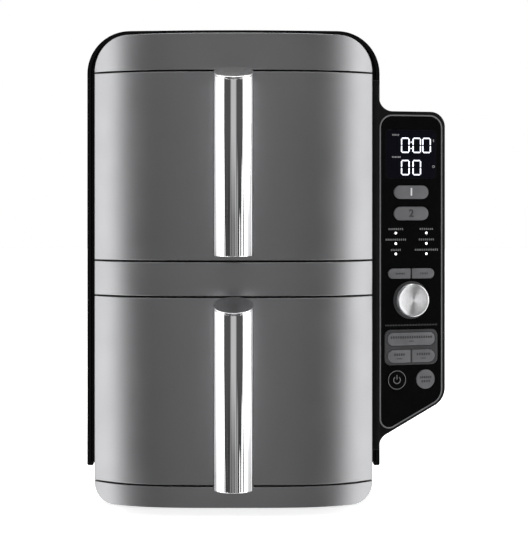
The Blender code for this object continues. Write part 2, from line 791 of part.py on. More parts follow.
def button_outlines(grow=0.0):
    """Outline of each button by name, grown for the hole that it sits in."""
    wide = 2 * grow
    return {
        "button_zone_1": pill(0, 0.2550, 0.0295 + wide, 0.0108 + wide),
        "button_zone_2": pill(0, 0.2378, 0.0295 + wide, 0.0108 + wide),
        "button_temp": half_pill(-0.0007 + grow, -0.0197 - grow, 0.1894, 0.0082 + wide),
        "button_time": half_pill(0.0007 - grow, 0.0197 + grow, 0.1894, 0.0082 + wide),
        "button_both_drawers": pill(0, PAD_Z + 0.00665, 0.0404 + wide, 0.0106 + wide, 0.0045),
        "button_sync": half_pill(-0.0007 + grow, -0.0202 - grow, PAD_Z - 0.0072, 0.0105 + wide),
        "button_match": half_pill(0.0007 - grow, 0.0202 + grow, PAD_Z - 0.0072, 0.0105 + wide),
        "button_power": circle(-0.0123, ROUND_BUTTON_Z, 0.0079 + grow, 28),
        "button_start_stop": circle(0.0123, ROUND_BUTTON_Z, 0.0078 + grow, 28),
    }


BACKED = ("button_both_drawers", "button_sync", "button_match")


def panel_frame():
    """An empty in the middle of the pod's tilted face: x across the panel, y into it."""
    frame = bpy.data.objects.new("panel_frame", None)
    frame.location = DATUM + Vector((PANEL_X, pod_depth(PANEL_X), 0))
    frame.rotation_euler = (0, 0, POD_TILT)
    PARTS.objects.link(frame)
    return frame


def on_panel(obj, frame, place=(0, 0, 0)):
    obj.parent = frame
    obj.location = place
    return obj


def pod_housing(frame):
    plan = rounded(
        [
            (POD_INNER, pod_depth(POD_INNER), 0),
            (POD_OUTER, pod_depth(POD_OUTER), 0),
            (POD_OUTER, POD_REAR_OUTER, 0.012),
            (CASE_HALF + GAP, POD_REAR_INNER, 0),
            (CASE_HALF + GAP, CASE_FRONT - GAP, 0),
            (POD_INNER, CASE_FRONT - GAP, 0),
        ]
    )
    pod = plate("pod_housing", [pod_outline()], "front", 0.02, 0.15, BLACK_PLASTIC)
    joined(pod, sheet("pod_plan", [plan], "plan", 0.03, 0.36), "INTERSECT")
    inner = 0.1215
    outer = 0.1665
    top = 0.3124
    cavity = [(inner, 0.0668, 0.005), (outer, 0.0912, 0.011), (outer, top, 0.008), (inner, top, 0.008)]
    cavity_plan = [Vector((inner - 0.01, 0.01)), Vector((outer + 0.01, 0.01))]
    cavity_plan.extend((Vector((outer + 0.01, 0.086)), Vector((inner - 0.01, 0.1395))))
    hollow = joined(pod, sheet("pod_cavity", [rounded(cavity)], "front", 0.005, 0.14), "DIFFERENCE")
    joined(hollow, sheet("pod_cavity_plan", [cavity_plan], "plan", 0.03, 0.36), "INTERSECT")
    seat = sheet("panel_recess", [panel_outline(GAP)], "front", -0.003, PANEL_THICK + GAP)
    on_panel(joined(pod, seat, "DIFFERENCE"), frame)


def panel(frame):
    """The gloss plate, the window, the grey pad and the nine buttons."""
    play = 0.00035
    holes = button_outlines(play)
    window = pill(0, 0.2857, 0.0427, 0.0388, 0.003)
    window_hole = pill(0, 0.2857, 0.0427 + 2 * GAP, 0.0388 + 2 * GAP, 0.0033)
    pad = pill(0, PAD_Z, 0.0452, 0.0285, 0.005)
    pad_hole = pill(0, PAD_Z, 0.0452 + 2 * GAP, 0.0285 + 2 * GAP, 0.0053)
    plate_holes = [outline for name, outline in holes.items() if name not in BACKED]
    knob_hole = circle(0, KNOB_Z, 0.0036, 16)
    outlines = [panel_outline(), window_hole, pad_hole, knob_hole, *plate_holes]
    on_panel(plate("panel_plate", outlines, "front", 0, PANEL_THICK, PANEL_GLOSS), frame)
    on_panel(plate("display_window", [window], "front", 0, PANEL_THICK, SMOKED_WINDOW), frame)
    pad_outlines = [pad, *(holes[name] for name in BACKED)]
    on_panel(plate("button_pad", pad_outlines, "front", -0.0003, PANEL_THICK, BACKING_GREY), frame)
    for name, outline in button_outlines().items():
        colour = PANEL_GLOSS if name == "button_power" else BUTTON_GREY
        on_panel(plate(name, [outline], "front", -BUTTON_PROUD, BUTTON_BACK, colour), frame)


def knob(frame):
    """The selector: a low drum with a dished face on the encoder's shaft."""
    shaft = 0.003
    top = KNOB_HEIGHT
    profile = [
        (0, top - 0.0005), (0.0095, top - 0.0005), (0.0124, top), (KNOB_RADIUS, top - 0.0008),
        (KNOB_RADIUS, 0.001), (0.0115, 0.0005), (shaft, 0.0005), (shaft, -0.010), (0, -0.010),
    ]
    dial = turned("knob", profile, 28, SATIN_METAL, (0, 0, 0))
    on_panel(dial, frame, (0, 0, KNOB_Z))
    dial.rotation_euler = (math.radians(90), 0, 0)


def pod_inside(frame):
    """The display module, the encoder and the control board behind the panel."""
    module = box_mesh("display_module", (-0.0180, PANEL_THICK + GAP, 0.2675), (0.0195, 0.0115, 0.3035))
    on_panel(add("display_module", module, BLACK_PLASTIC), frame)
    body = rectangle(-0.0065, KNOB_Z - 0.0065, 0.0065, KNOB_Z + 0.0065)
    encoder_outline = [body, circle(0, KNOB_Z, 0.0034, 16)]
    on_panel(plate("encoder", encoder_outline, "front", PANEL_THICK + 0.0005, 0.0117, MOTOR_STEEL), frame)
    board = rectangle(-0.0160, 0.094, 0.0195, 0.3085, 0.002)
    on_panel(plate("control_board", [board], "front", 0.0120, BOARD_BACK, BOARD_GREEN), frame)


def control_pod():
    frame = panel_frame()
    pod_housing(frame)
    panel(frame)
    knob(frame)
    pod_inside(frame)


housing_shell()
rear_cover()
cord_gland()
base_pan()
feet()
front_frame()
trims()
drawers()
cooking_side()
power_board()
control_pod()
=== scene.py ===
import json
import math

import bmesh
import bpy
from mathutils import Matrix, Vector


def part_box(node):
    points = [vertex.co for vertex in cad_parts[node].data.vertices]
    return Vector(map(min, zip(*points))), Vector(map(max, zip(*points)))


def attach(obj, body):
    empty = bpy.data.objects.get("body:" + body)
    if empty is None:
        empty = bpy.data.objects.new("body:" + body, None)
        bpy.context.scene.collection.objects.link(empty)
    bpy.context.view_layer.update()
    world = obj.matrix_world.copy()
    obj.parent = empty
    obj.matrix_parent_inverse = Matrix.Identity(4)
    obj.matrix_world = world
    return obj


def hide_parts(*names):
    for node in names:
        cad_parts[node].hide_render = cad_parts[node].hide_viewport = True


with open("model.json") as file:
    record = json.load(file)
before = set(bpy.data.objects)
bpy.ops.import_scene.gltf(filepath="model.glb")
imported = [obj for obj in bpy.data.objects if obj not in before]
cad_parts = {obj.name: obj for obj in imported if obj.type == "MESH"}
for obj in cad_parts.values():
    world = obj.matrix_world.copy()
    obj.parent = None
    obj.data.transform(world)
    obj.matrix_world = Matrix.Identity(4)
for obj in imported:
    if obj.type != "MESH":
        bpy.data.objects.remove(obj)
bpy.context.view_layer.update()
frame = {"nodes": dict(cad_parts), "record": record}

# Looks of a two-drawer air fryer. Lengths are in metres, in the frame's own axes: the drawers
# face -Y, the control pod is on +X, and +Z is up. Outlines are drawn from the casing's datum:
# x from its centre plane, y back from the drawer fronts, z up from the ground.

NODES = frame["nodes"]
SIDES = ("upper", "lower")


def span(node):
    """Lowest and highest corner of a CAD node, from the casing's datum."""
    low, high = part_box(node)
    return low - DATUM, high - DATUM


case_low, case_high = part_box("housing_shell")
skin_low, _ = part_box("upper_drawer_skin")
DATUM = Vector(((case_low.x + case_high.x) / 2, skin_low.y, 0))

# Casing and fascia
CASE_LOW, CASE_HIGH = span("housing_shell")
CASE_HALF = CASE_HIGH.x
CASE_TOP = CASE_HIGH.z + 0.00036  # rounding the crown takes this much off its peak
CROWN = 0.0015
CROWN_RADIUS = 4.5
CASE_CORNER = 0.0345
CASE_WALL = 0.003
FASCIA_HALF = span("upper_drawer_skin")[1].x
FASCIA_TOP = span("top_trim")[1].z + 0.0003  # as for the casing's crown
FASCIA_BACK = span("top_trim")[1].y
FASCIA_SET_BACK = 0.025
FASCIA_POWER = 3.9
FASCIA_SLICES = 56
TOP_CORNER = 0.0277
BOTTOM_CORNER = 0.016
SKIN_BACK = span("upper_drawer_skin")[1].y

# Back and feet
GLAND_X, GLAND_Z = -0.075, 0.060
GLAND_HOLE = 0.0093
VENT_PITCH = 0.010
VENT_WIDTH = 0.0044
VENT_REACH = 0.036
VENT_TAPER = 0.0025
SCREW_X = 0.098
SCREW_HEIGHTS = (0.055, 0.205, 0.345)
SCREW_PROFILE = (
    (0, 0.0004), (0.0008, 0.0004), (0.0012, 0.0016), (0.0034, 0.0012),
    (0.004, 0.0002), (0.004, -0.001), (0, -0.001),
)
FOOT_PROFILE = (
    (0, 0.008), (0.0078, 0.008), (0.0088, 0.0072), (0.009, 0.006), (0.0086, 0.001),
    (0.0078, 0), (0.0055, 0), (0.005, 0.0006), (0, 0.0006),
)

# Baskets and crisper plates
TUB_CORNER = 0.020
TUB_FLOOR_EDGE = 0.007
TUB_LIP = 0.0028
TUB_WALL = 0.0014
GRID_CORNER = 0.017
GRID_THICK = 0.0025
SLOT_ROWS = 7
SLOT_LENGTH, SLOT_WIDTH = 0.022, 0.008
SLOT_PITCH_X, SLOT_PITCH_Y = 0.032, 0.0325
FIRST_SLOT = 0.030
STUB_INSET = 0.016
STUB_PROFILE = ((0, 0.011), (0.0045, 0.011), (0.0045, 0.0015), (0.0036, 0), (0, 0))

# Handles
HANDLE_RADIUS = span("upper_handle")[1].x
HANDLE_OUT = -(span("upper_handle")[0].y + span("upper_handle")[1].y) / 2
CAP_SLOPE = math.tan(math.radians(18.7))
CAP_THICK = 0.0016
ARM_HEIGHT = 0.014
ARM_HALF = 0.007

# Control pod
POD_TILT = math.radians(14)
POD_INNER, POD_OUTER = span("pod_housing")[0].x, span("pod_housing")[1].x
POD_FLOOR, POD_TOP = 0.048, 0.3203
POD_ROOT_TOP = 0.345
POD_WALL = 0.005
PANEL_X = 0.1434
PANEL_HALF = 0.0268
PANEL_TOP = 0.3174
PANEL_FOOT = 0.0737
PANEL_FOOT_RISE = 0.0278
KNOB_Z = (span("knob")[0].z + span("knob")[1].z) / 2
PAD_Z = (span("button_pad")[0].z + span("button_pad")[1].z) / 2
ZONE_1_Z, ZONE_2_Z = 0.2550, 0.2378
ZONE_WIDTH, ZONE_HEIGHT = 0.0295, 0.0108
KEY_Z, KEY_HEIGHT, KEY_REACH = 0.1894, 0.0082, 0.0197
PAD_WIDTH, PAD_HEIGHT, PAD_CORNER = 0.0452, 0.0285, 0.005
LONG_KEY_Z = PAD_Z + 0.00665
SHORT_KEY_Z = PAD_Z - 0.0072
ROUND_BUTTON_U, ROUND_BUTTON_Z = 0.0123, 0.1038
WINDOW_Z = 0.2857
WINDOW_WIDTH, WINDOW_HEIGHT, WINDOW_CORNER = 0.0427, 0.0388, 0.003
SEAT_GAP = 0.0001
BUTTON_GAP = 0.00025
PROUD = 0.0008
FACE = -0.0001
INK = 0.0001
THIN_INK = 0.00006
SMOOTH = math.radians(35)


def pod_depth(x):
    """Depth of the pod's turned front at x."""
    return CASE_LOW.y - 0.004 + (x - CASE_HALF) * math.tan(POD_TILT)


PANEL_ORIGIN = DATUM + Vector((PANEL_X, pod_depth(PANEL_X), 0))
PANEL = Matrix.Translation(PANEL_ORIGIN) @ Matrix.Rotation(POD_TILT, 4, "Z")
BODY = Matrix.Translation(DATUM)
FRONT_PLANE = Matrix.Rotation(math.radians(90), 4, "X")


# Outlines

def rounded(corners, steps=8):
    """Points round a polygon of (a, b, radius) corners, with an arc in place of each corner."""
    points = []
    for index, (a, b, radius) in enumerate(corners):
        corner = Vector((a, b))
        if radius == 0:
            points.append(corner)
            continue
        before = (Vector(corners[index - 1][:2]) - corner).normalized()
        after = (Vector(corners[(index + 1) % len(corners)][:2]) - corner).normalized()
        half = before.angle(after) / 2
        centre = corner + (before + after).normalized() * radius / math.sin(half)
        first = corner + before * radius / math.tan(half) - centre
        last = corner + after * radius / math.tan(half) - centre
        start = math.atan2(first.y, first.x)
        sweep = math.atan2(first.x * last.y - first.y * last.x, first.dot(last))
        for step in range(steps + 1):
            angle = start + sweep * step / steps
            points.append(centre + radius * Vector((math.cos(angle), math.sin(angle))))
    return points


def circle(a, b, radius, sides=48):
    turns = [2 * math.pi * side / sides for side in range(sides)]
    return [Vector((a + radius * math.cos(turn), b + radius * math.sin(turn))) for turn in turns]


def pill(u, z, width, height, radius=None, steps=8):
    """A rectangle with round corners, by default with fully round ends."""
    radius = height / 2 - 0.00005 if radius is None else radius
    low_u, high_u, low_z, high_z = u - width / 2, u + width / 2, z - height / 2, z + height / 2
    corners = ((low_u, low_z), (high_u, low_z), (high_u, high_z), (low_u, high_z))
    return rounded([(a, b, radius) for a, b in corners], steps)


def half_pill(inner_u, outer_u, z, height):
    """One of a pair of keys, square on the inner end and round on the outer one."""
    radius = height / 2 - 0.00005
    return rounded(
        [
            (inner_u, z - height / 2, 0.0006),
            (outer_u, z - height / 2, radius),
            (outer_u, z + height / 2, radius),
            (inner_u, z + height / 2, 0.0006),
        ]
    )


def arch(half, bottom, top, corner, foot):
    """The casing's outline: upright sides, round shoulders and a slightly crowned top."""
    side_top = top - CROWN
    return rounded(
        [
            (-half, bottom, foot),
            (-half, side_top, corner),
            (0, top, CROWN_RADIUS),
            (half, side_top, corner),
            (half, bottom, foot),
        ],
        20,
    )


# Mesh helpers

def piece(name, mesh, material, body, replaced=(), smooth=SMOOTH, place=None):
    """A finished piece: its mesh, its material, and the CAD body it rides on."""
    obj = bpy.data.objects.new(name, mesh)
    bpy.context.scene.collection.objects.link(obj)
    obj.matrix_world = BODY if place is None else place
    mesh.materials.clear()
    mesh.materials.append(material)
    mesh.shade_smooth()
    mesh.set_sharp_from_angle(angle=smooth)
    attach(obj, body)
    if replaced:
        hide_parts(*replaced)
    return obj


def even(obj):
    """Keeps a piece's flat faces flat right up to their rounded rims."""
    normals = obj.modifiers.new("normals", "WEIGHTED_NORMAL")
    normals.keep_sharp = True


def clean(shape, name):
    bmesh.ops.remove_doubles(shape, verts=shape.verts, dist=0.000005)
    bmesh.ops.recalc_face_normals(shape, faces=shape.faces)
    mesh = bpy.data.meshes.new(name)
    shape.to_mesh(mesh)
    shape.free()
    return mesh


def flat(name, outlines, low, high, edge=0.0, plane="front", rounds=3):
    """A flat shape with holes, from low to high across its plane, with rounded rims."""
    curve = bpy.data.curves.new(name, "CURVE")
    curve.dimensions = "2D"
    curve.fill_mode = "BOTH"
    curve.extrude = (high - low) / 2 - edge
    curve.bevel_depth = edge
    curve.bevel_resolution = rounds
    curve.offset = -edge
    for outline in outlines:
        spline = curve.splines.new("POLY")
        spline.points.add(len(outline) - 1)
        for point, (a, b) in zip(spline.points, outline):
            point.co = (a, b, 0, 1)
        spline.use_cyclic_u = True
    drawn = bpy.data.objects.new(name, curve)
    bpy.context.scene.collection.objects.link(drawn)
    graph = bpy.context.evaluated_depsgraph_get()
    mesh = bpy.data.meshes.new_from_object(drawn.evaluated_get(graph))
    bpy.data.objects.remove(drawn)
    shape = bmesh.new()
    shape.from_mesh(mesh)
    middle = (low + high) / 2
    if plane == "front":
        shape.transform(Matrix.Translation((0, middle, 0)) @ FRONT_PLANE)
    else:
        shape.transform(Matrix.Translation((0, 0, middle)))
    return clean(shape, name)


def block(name, outline, front, back, rim=0.001, rear_rim=0.0, segments=4, border=0.0):
    """A front-view outline pushed back, its faces set by front(x) and back(x), with round rims.

    A border is a narrow strip just inside the front rim, which keeps the face's shading flat.
    """
    shape = bmesh.new()
    verts = [shape.verts.new((x, 0, z)) for x, z in outline]
    near = shape.faces.new(verts)
    far = bmesh.ops.extrude_face_region(shape, geom=[near])["geom"]
    for vert in shape.verts:
        vert.co.y = 0
    for item in far:
        if isinstance(item, bmesh.types.BMVert):
            item.co.y = 1
    for vert in shape.verts:
        vert.co.y = back(vert.co.x) if vert.co.y > 0.5 else front(vert.co.x)
    shape.normal_update()
    rear = next(item for item in far if isinstance(item, bmesh.types.BMFace))
    for face, width in ((near, rim), (rear, rear_rim)):
        if width:
            bmesh.ops.bevel(
                shape, geom=list(face.edges), offset=width, segments=segments, profile=0.5,
                affect="EDGES", clamp_overlap=True,
            )
    if border:
        facing = [face for face in shape.faces if face.normal.y < -0.9]
        widest = max(facing, key=lambda face: face.calc_area())
        bmesh.ops.inset_individual(shape, faces=[widest], thickness=border)
    return clean(shape, name)


def curved(x):
    """How far the fascia's front is set back at x."""
    return FASCIA_SET_BACK * (min(abs(x), FASCIA_HALF) / FASCIA_HALF) ** FASCIA_POWER


def fascia(name, outline, back, rim=0.0008):
    """A fascia band: a flat block with round rims, sliced upright and bent to the fascia's curve."""
    mesh = block(name, outline, lambda x: 0, lambda x: back, rim, border=0.0008)
    shape = bmesh.new()
    shape.from_mesh(mesh)
    for step in range(-FASCIA_SLICES + 1, FASCIA_SLICES):
        x = FASCIA_HALF * math.copysign(abs(step / FASCIA_SLICES) ** 0.7, step)
        geometry = list(shape.verts) + list(shape.edges) + list(shape.faces)
        bmesh.ops.bisect_plane(
            shape, geom=geometry, plane_co=(x, 0, 0), plane_no=(1, 0, 0), dist=0.000001
        )
    for vert in shape.verts:
        vert.co.y += curved(vert.co.x) * (back - vert.co.y) / back
    return clean(shape, name)


def lathe(name, profile, steps=64):
    """A (radius, height) profile turned about Z, from its top end to its bottom end."""
    shape = bmesh.new()
    rings = []
    for radius, height in profile:
        if radius == 0:
            rings.append([shape.verts.new((0, 0, height))] * steps)
            continue
        turns = [2 * math.pi * step / steps for step in range(steps)]
        rings.append([shape.verts.new((radius * math.cos(t), radius * math.sin(t), height)) for t in turns])
    for upper, lower in zip(rings, rings[1:]):
        for index in range(steps):
            after = (index + 1) % steps
            corners = [upper[index], upper[after], lower[after], lower[index]]
            unique = list(dict.fromkeys(corners))
            if len(unique) > 2:
                shape.faces.new(unique)
    return clean(shape, name)


def merged(name, meshes):
    """Several meshes as one."""
    shape = bmesh.new()
    for mesh in meshes:
        shape.from_mesh(mesh)
    mesh = bpy.data.meshes.new(name)
    shape.to_mesh(mesh)
    shape.free()
    return mesh


def carve(mesh, cutter_mesh):
    """The mesh less the cutter, as a new mesh."""
    target = bpy.data.objects.new("carved", mesh)
    tool = bpy.data.objects.new("tool", cutter_mesh)
    for obj in (target, tool):
        bpy.context.scene.collection.objects.link(obj)
    cut = target.modifiers.new("cut", "BOOLEAN")
    cut.object = tool
    graph = bpy.context.evaluated_depsgraph_get()
    result = bpy.data.meshes.new_from_object(target.evaluated_get(graph))
    for obj in (target, tool):
        bpy.data.objects.remove(obj)
    return result


# Materials

class Finish:
    """A Principled material with a few procedural layers on it."""

    def __init__(self, slot, colour, roughness, metallic=0.0, name=None, **sockets):
        self.material = bpy.data.materials.new(name or slot)
        self.material["slot"] = slot
        self.material.use_nodes = True
        self.nodes = self.material.node_tree.nodes
        self.links = self.material.node_tree.links
        self.shader = self.nodes["Principled BSDF"]
        self.colour = colour
        self.shader.inputs["Base Color"].default_value = (*colour, 1)
        self.shader.inputs["Roughness"].default_value = roughness
        self.shader.inputs["Metallic"].default_value = metallic
        for socket, value in sockets.items():
            self.shader.inputs[socket.replace("_", " ")].default_value = value
        self.last_bump = None

    def noise(self, scale, detail=2.0, stretch=(1, 1, 1)):
        place = self.nodes.new("ShaderNodeTexCoord")
        mapping = self.nodes.new("ShaderNodeMapping")
        mapping.inputs["Scale"].default_value = stretch
        texture = self.nodes.new("ShaderNodeTexNoise")
        texture.inputs["Scale"].default_value = scale
        texture.inputs["Detail"].default_value = detail
        self.links.new(place.outputs["Object"], mapping.inputs["Vector"])
        self.links.new(mapping.outputs["Vector"], texture.inputs["Vector"])
        return texture.outputs["Fac"]

    def spread(self, source, low, high, near=0.3, far=0.7):
        """The source's values between near and far, drawn out between low and high."""
        node = self.nodes.new("ShaderNodeMapRange")
        for name, value in (("From Min", near), ("From Max", far), ("To Min", low), ("To Max", high)):
            node.inputs[name].default_value = value
        self.links.new(source, node.inputs["Value"])
        return node.outputs["Result"]

    def height(self, start, end, low, high):
        """A value that goes from low at one height of the object to high at another."""
        place = self.nodes.new("ShaderNodeTexCoord")
        split = self.nodes.new("ShaderNodeSeparateXYZ")
        self.links.new(place.outputs["Object"], split.inputs[0])
        return self.spread(split.outputs["Z"], low, high, start, end)

    def tint(self, source, low, high, mask=None):
        """Colour from low to high times its value with the source; it stays low where the mask is 0."""
        mix = self.nodes.new("ShaderNodeMix")
        mix.data_type = "RGBA"
        mix.inputs["A"].default_value = (*(min(1, part * low) for part in self.colour), 1)
        mix.inputs["B"].default_value = (*(min(1, part * high) for part in self.colour), 1)
        share = self.spread(source, 0, 1)
        if mask:
            both = self.nodes.new("ShaderNodeMath")
            both.operation = "MULTIPLY"
            self.links.new(share, both.inputs[0])
            self.links.new(mask, both.inputs[1])
            share = both.outputs[0]
        self.links.new(share, mix.inputs["Factor"])
        self.links.new(mix.outputs["Result"], self.shader.inputs["Base Color"])
        return self

    def rough(self, source, low, high):
        self.links.new(self.spread(source, low, high), self.shader.inputs["Roughness"])
        return self

    def bump(self, source, distance, strength=1.0):
        node = self.nodes.new("ShaderNodeBump")
        node.inputs["Distance"].default_value = distance
        if isinstance(strength, (int, float)):
            node.inputs["Strength"].default_value = strength
        else:
            self.links.new(strength, node.inputs["Strength"])
        self.links.new(source, node.inputs["Height"])
        if self.last_bump:
            self.links.new(self.last_bump, node.inputs["Normal"])
        self.last_bump = node.outputs["Normal"]
        self.links.new(self.last_bump, self.shader.inputs["Normal"])
        return self


def plastic(slot, colour, roughness, grain=2600, depth=0.00003, **more):
    finish = Finish(slot, colour, roughness, **more)
    finish.tint(finish.noise(90, 3), 0.9, 1.12)
    finish.rough(finish.noise(240, 3), roughness * 0.88, roughness * 1.12)
    finish.bump(finish.noise(grain, 2), depth, 0.5)
    return finish.material


def metal(slot, colour, roughness, stretch=(1, 1, 1), scale=700, depth=0.00002, contrast=0.12, **more):
    finish = Finish(slot, colour, roughness, 1.0, **more)
    lines = finish.noise(scale, 3, stretch)
    finish.tint(lines, 1 - contrast, 1 + contrast)
    finish.rough(finish.noise(scale * 0.7, 2, stretch), roughness * 0.85, roughness * 1.2)
    finish.bump(lines, depth, 0.4)
    return finish.material


def grey_paint():
    """Metallic paint: fine bright flakes in a dark grey, under a smooth satin surface."""
    finish = Finish("grey_paint", (0.222, 0.222, 0.227), 0.42, 0.9)
    finish.tint(finish.noise(5200, 1), 0.92, 1.08)
    finish.rough(finish.noise(35, 3), 0.40, 0.44)
    finish.bump(finish.noise(5200, 1), 0.000012, 0.4)
    return finish.material


def chrome():
    """Polished bar, drawn lengthwise, with draw lines bumped into it and painted reflection streaks that
    darken its colour towards its foot.
    """
    finish = Finish("chrome", (0.90, 0.90, 0.91), 0.07, 1.0)
    lines = finish.noise(340, 3, (1, 1, 0.006))
    # Painted reflection: streaks of this noise darken the chrome's colour, most near the foot, in place of
    # reflected stripes; the bump below puts the same streaks into the surface.
    foot = finish.height(0.095, 0.03, 0.0, 1.0)
    finish.tint(lines, 1.0, 0.3, foot)
    finish.rough(finish.noise(60, 3, (1, 1, 0.2)), 0.05, 0.09)
    finish.bump(lines, 0.0007, foot)
    return finish.material


def spun_metal():
    """Aluminium faced on a lathe: fine rings round the knob's axis."""
    finish = Finish("satin_metal", (0.80, 0.80, 0.81), 0.45, 1.0, name="spun_metal", Anisotropic=0.85)
    finish.shader.inputs["Anisotropic Rotation"].default_value = 0.25
    place = finish.nodes.new("ShaderNodeTexCoord")
    rings = finish.nodes.new("ShaderNodeTexWave")
    rings.wave_type = "RINGS"
    rings.rings_direction = "Z"
    rings.inputs["Scale"].default_value = 900
    rings.inputs["Distortion"].default_value = 0.3
    finish.links.new(place.outputs["Object"], rings.inputs["Vector"])
    finish.bump(rings.outputs["Fac"], 0.00001, 0.4)
    finish.tint(finish.noise(900, 3), 0.92, 1.06)
    finish.rough(finish.noise(300, 2), 0.42, 0.48)
    tangent = finish.nodes.new("ShaderNodeTangent")
    tangent.direction_type = "RADIAL"
    tangent.axis = "Z"
    finish.links.new(tangent.outputs["Tangent"], finish.shader.inputs["Tangent"])
    return finish.material


def glowing(name, slot, colour, strength):
    finish = Finish(slot, colour, 0.4, name=name)
    finish.tint(finish.noise(1500, 2), 0.93, 1.05)
    finish.shader.inputs["Emission Color"].default_value = (*colour, 1)
    finish.shader.inputs["Emission Strength"].default_value = strength
    return finish.material


BLACK = plastic("black_plastic", (0.0022, 0.0022, 0.0024), 0.42, Specular_IOR_Level=0.10)
GREY = grey_paint()
CHROME = chrome()
SATIN = metal("satin_metal", (0.62, 0.62, 0.63), 0.24, (1, 1, 1), 2200, 0.00001)
SPUN = spun_metal()
GLOSS = plastic("panel_gloss", (0.0018, 0.0018, 0.0020), 0.16, 900, 0.000004, Specular_IOR_Level=0.15)
WINDOW = plastic("smoked_window", (0.0028, 0.0028, 0.0050), 0.08, 900, 0.000002, Specular_IOR_Level=0.15)
PAD = plastic("pad_grey", (0.036, 0.036, 0.038), 0.5, Specular_IOR_Level=0.2)
BUTTON = plastic("button_grey", (0.098, 0.098, 0.102), 0.48, Specular_IOR_Level=0.2)
NON_STICK = plastic("non_stick", (0.022, 0.022, 0.024), 0.38, 1800, 0.00005)
STEEL = metal("sheet_steel", (0.52, 0.52, 0.53), 0.34, (1, 1, 0.05), 500)
DULL = metal("heater_steel", (0.26, 0.26, 0.27), 0.42)
RUBBER = plastic("foot_rubber", (0.012, 0.012, 0.012), 0.75, 1500, 0.0001)
BOARD = plastic("circuit_board", (0.015, 0.10, 0.04), 0.45, 600, 0.0001)
LIT = glowing("lit_segment", "smoked_window", (0.86, 0.87, 0.98), 0.75)
LAMP = glowing("lamp", "panel_gloss", (1.0, 1.0, 1.0), 1.0)
PRINT_WHITE = plastic("button_grey", (0.55, 0.55, 0.56), 0.5, name="white_print")
PRINT_PALE = plastic("panel_gloss", (0.19, 0.19, 0.195), 0.5, name="pale_print")
PRINT_GREY = plastic("panel_gloss", (0.10, 0.10, 0.104), 0.5, name="grey_print")
PRINT_DIM = plastic("panel_gloss", (0.022, 0.022, 0.024), 0.5, name="dim_print")
PRINT_DARK = plastic("button_grey", (0.016, 0.016, 0.018), 0.5, name="dark_print")

BY_SLOT = {
    "black_plastic": BLACK,
    "grey_paint": GREY,
    "chrome": CHROME,
    "satin_metal": SATIN,
    "non_stick": NON_STICK,
    "sheet_steel": STEEL,
    "heater_steel": DULL,
    "foot_rubber": RUBBER,
    "circuit_board": BOARD,
    "panel_gloss": GLOSS,
    "smoked_window": WINDOW,
    "pad_grey": PAD,
    "button_grey": BUTTON,
}


def finish_nodes():
    """Gives every CAD node the material of its slot."""
    for row in frame["record"]["subparts"]:
        mesh = NODES[row["node"]].data
        mesh.materials.clear()
        mesh.materials.append(BY_SLOT[row["material_slot"]])


# Casing

def casing():
    """The black sleeve, the rear cover and the feet."""
    inner = CASE_HALF - CASE_WALL
    outer = arch(CASE_HALF, CASE_LOW.z, CASE_TOP, CASE_CORNER, 0.0014)
    hollow = arch(inner, CASE_LOW.z, CASE_TOP - CASE_WALL, CASE_CORNER - CASE_WALL, 0.0014)
    mesh = block(
        "case_sleeve", outer + hollow[::-1], lambda x: CASE_LOW.y, lambda x: CASE_HIGH.y, 0.0012, 0.0006, 3
    )
    piece("case_sleeve", mesh, BLACK, "casing", ["housing_shell"])
    back_cover()
    for foot in ("front_left", "front_right", "rear_left", "rear_right"):
        low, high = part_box("foot_" + foot)
        place = Matrix.Translation(((low.x + high.x) / 2, (low.y + high.y) / 2, 0))
        mesh = lathe("rubber_foot", FOOT_PROFILE)
        piece("rubber_foot_" + foot, mesh, RUBBER, "casing", ["foot_" + foot], place=place)


def back_cover():
    """The rear cover, with a vent by each cooling fan, a hole for the cord gland, and screws."""
    low, high = span("rear_cover")
    outline = arch(CASE_HALF, low.z, CASE_TOP, CASE_CORNER, 0.002)
    holes = [circle(GLAND_X, GLAND_Z, GLAND_HOLE)]
    for side in SIDES:
        fan_low, fan_high = span(side + "_cooling_fan")
        middle = (fan_low.z + fan_high.z) / 2
        for column in range(-5, 6):
            reach = VENT_REACH - VENT_TAPER * abs(column)
            holes.append(pill(column * VENT_PITCH, middle, VENT_WIDTH, 2 * reach, 0.0021, 4))
    mesh = flat("back_cover", [outline, *holes], low.y, high.y, 0.0012)
    even(piece("back_cover", mesh, BLACK, "casing", ["rear_cover"]))
    screws = []
    for x in (-SCREW_X, SCREW_X):
        for z in SCREW_HEIGHTS:
            head = lathe("screw", SCREW_PROFILE, 24)
            head.transform(Matrix.Translation((x, high.y, z)) @ Matrix.Rotation(math.radians(-90), 4, "X"))
            screws.append(head)
    piece("back_cover_screws", merged("back_cover_screws", screws), DULL, "casing")


# Fascia and drawers

def trims():
    """The three fixed bands of the fascia."""
    low, _ = span("top_trim")
    outline = rounded(
        [
            (-FASCIA_HALF, low.z, 0.0),
            (-FASCIA_HALF, FASCIA_TOP - CROWN, TOP_CORNER),
            (0, FASCIA_TOP, CROWN_RADIUS),
            (FASCIA_HALF, FASCIA_TOP - CROWN, TOP_CORNER),
            (FASCIA_HALF, low.z, 0.0),
        ],
        20,
    )
    piece("top_band", fascia("top_band", outline, FASCIA_BACK), GREY, "casing", ["top_trim"])
    low, high = span("middle_trim")
    outline = rectangle(low.z, high.z)
    piece("middle_band", fascia("middle_band", outline, FASCIA_BACK), GREY, "casing", ["middle_trim"])
    low, high = span("bottom_trim")
    outline = rounded(
        [
            (-FASCIA_HALF, low.z, BOTTOM_CORNER),
            (FASCIA_HALF, low.z, BOTTOM_CORNER),
            (FASCIA_HALF, high.z, 0),
            (-FASCIA_HALF, high.z, 0),
        ],
        16,
    )
    piece("bottom_band", fascia("bottom_band", outline, FASCIA_BACK), GREY, "casing", ["bottom_trim"])


